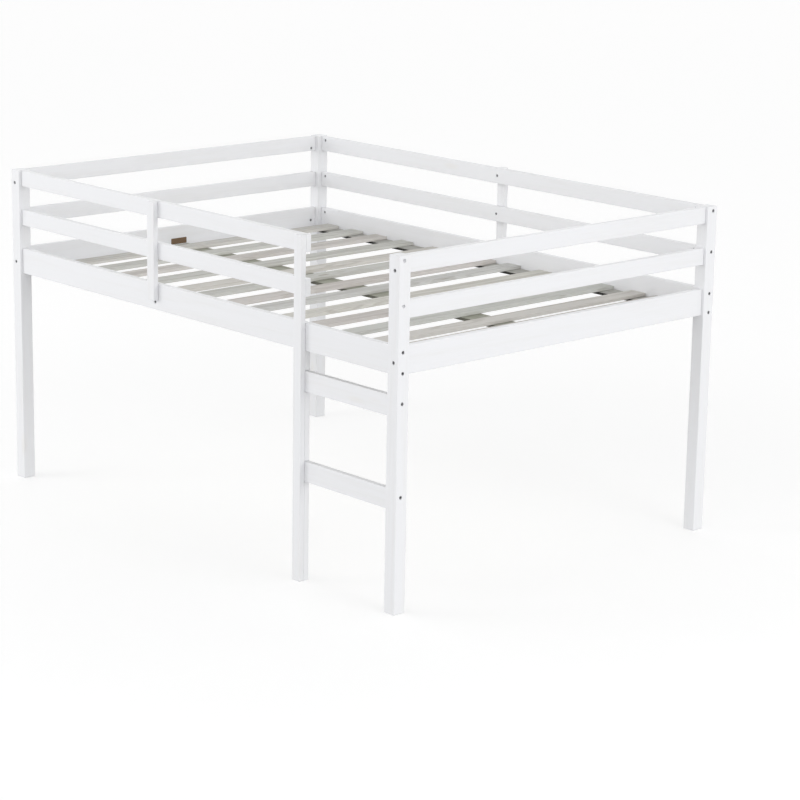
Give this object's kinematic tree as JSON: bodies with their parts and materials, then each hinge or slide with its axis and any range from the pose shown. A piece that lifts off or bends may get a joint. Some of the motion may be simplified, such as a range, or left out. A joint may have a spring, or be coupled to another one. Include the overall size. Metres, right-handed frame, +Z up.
{
  "type": "low loft bed with ladder",
  "caption": "Low loft bed: slatted deck on four corner posts, guard rails all round, and a short ladder built into the front with an entry gap above it.",
  "frame": {"origin": "on the floor, under the middle of the four corner posts", "axes": "+X along the bed towards the ladder end, -Y out of the front with the ladder, +Z up"},
  "size_m": [2, 1.435, 1.109],
  "materials": {
    "white_paint": "satin white paint on wood",
    "bare_wood": "thin pale grey wash on sawn softwood",
    "dark_steel": "black oxide"
  },
  "bodies": {
    "root": {"post_front_left": "white_paint", "post_front_right": "white_paint", "post_back_left": "white_paint", "post_back_right": "white_paint", "side_rail_front": "white_paint", "side_rail_back": "white_paint", "side_rail_left": "white_paint", "side_rail_right": "white_paint", "top_guard_front": "white_paint", "top_guard_back": "white_paint", "top_guard_left": "white_paint", "top_guard_right": "white_paint", "mid_guard_front": "white_paint", "mid_guard_back": "white_paint", "mid_guard_left": "white_paint", "mid_guard_right": "white_paint", "guard_upright_front": "white_paint", "guard_upright_back": "white_paint", "ladder_upright": "white_paint", "ladder_packer_lower": "white_paint", "ladder_packer_upper": "white_paint", "ladder_packer_top": "white_paint", "ladder_rung_lower": "white_paint", "ladder_rung_upper": "white_paint", "slat_ledger_front": "bare_wood", "slat_ledger_back": "bare_wood", "centre_beam": "bare_wood", "slat_01": "bare_wood", "slat_02": "bare_wood", "slat_03": "bare_wood", "slat_04": "bare_wood", "slat_05": "bare_wood", "slat_06": "bare_wood", "slat_07": "bare_wood", "slat_08": "bare_wood", "slat_09": "bare_wood", "slat_10": "bare_wood", "slat_11": "bare_wood", "slat_12": "bare_wood", "slat_13": "bare_wood", "slat_14": "bare_wood", "peg_front_left": "bare_wood", "peg_front_right": "bare_wood", "peg_back_left": "bare_wood", "peg_back_right": "bare_wood", "bolt_front_left_upper": "dark_steel", "bolt_front_left_lower": "dark_steel", "bolt_front_left_cross": "dark_steel", "bolt_front_right_upper": "dark_steel", "bolt_front_right_lower": "dark_steel", "bolt_front_right_cross": "dark_steel", "bolt_back_left_upper": "dark_steel", "bolt_back_left_lower": "dark_steel", "bolt_back_left_cross": "dark_steel", "bolt_back_right_upper": "dark_steel", "bolt_back_right_lower": "dark_steel", "bolt_back_right_cross": "dark_steel", "bolt_rung_lower": "dark_steel", "bolt_rung_upper": "dark_steel", "bolt_under_front_upright": "dark_steel"}
  },
  "joints": []
}
